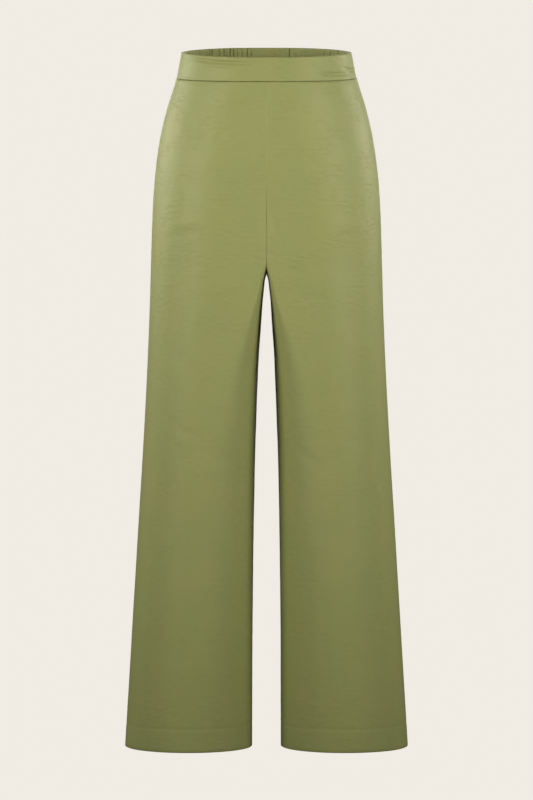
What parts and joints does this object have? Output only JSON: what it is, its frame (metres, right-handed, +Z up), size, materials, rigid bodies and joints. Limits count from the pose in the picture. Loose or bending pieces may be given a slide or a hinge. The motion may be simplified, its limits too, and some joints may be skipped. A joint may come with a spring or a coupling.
{
  "type": "satin trousers",
  "caption": "High-waisted wide-leg satin trousers, pull-on, with a flat front waistband and a gathered elastic back, filled out as worn and open at waist and hems.",
  "frame": {"origin": "the middle of the waist, half way up the waistband, where the wearer's waist holds the garment", "axes": "+Z up; the front faces -Y; +X is the wearer's left"},
  "size_m": [0.4248, 0.248, 1.0453],
  "materials": {
    "satin": "olive green slubbed satin with a soft sheen"
  },
  "bodies": {
    "root": {"waistband_front": "satin", "waistband_back": "satin", "front_panel_left": "satin", "front_panel_right": "satin", "back_panel_left": "satin", "back_panel_right": "satin"}
  },
  "joints": []
}
